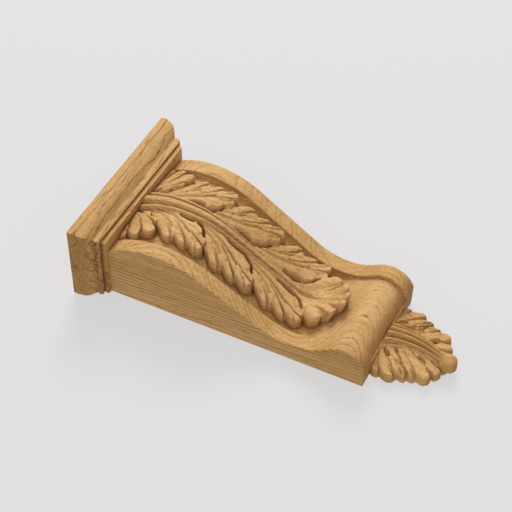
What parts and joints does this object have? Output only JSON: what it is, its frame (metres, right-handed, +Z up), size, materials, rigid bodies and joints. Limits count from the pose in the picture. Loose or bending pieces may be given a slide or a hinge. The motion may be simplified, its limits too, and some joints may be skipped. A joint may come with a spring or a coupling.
{
  "type": "corbel bracket",
  "caption": "Carved oak corbel bracket: S-shaped block with raised side bands, acanthus leaf and leaf drop, under a moulded cap board.",
  "frame": {"origin": "on the flat back plane, on the centre line, 115 mm below the top of the cap board", "axes": "+Z up towards the cap board, -Y out of the wall towards the carved front, +X to the right seen from the front"},
  "size_m": [0.125, 0.062, 0.2598],
  "materials": {
    "cap_oak": "bare sanded oak",
    "carved_oak": "bare carved oak"
  },
  "bodies": {
    "root": {"cap_board": "cap_oak", "carved_bracket": "carved_oak"}
  },
  "joints": []
}
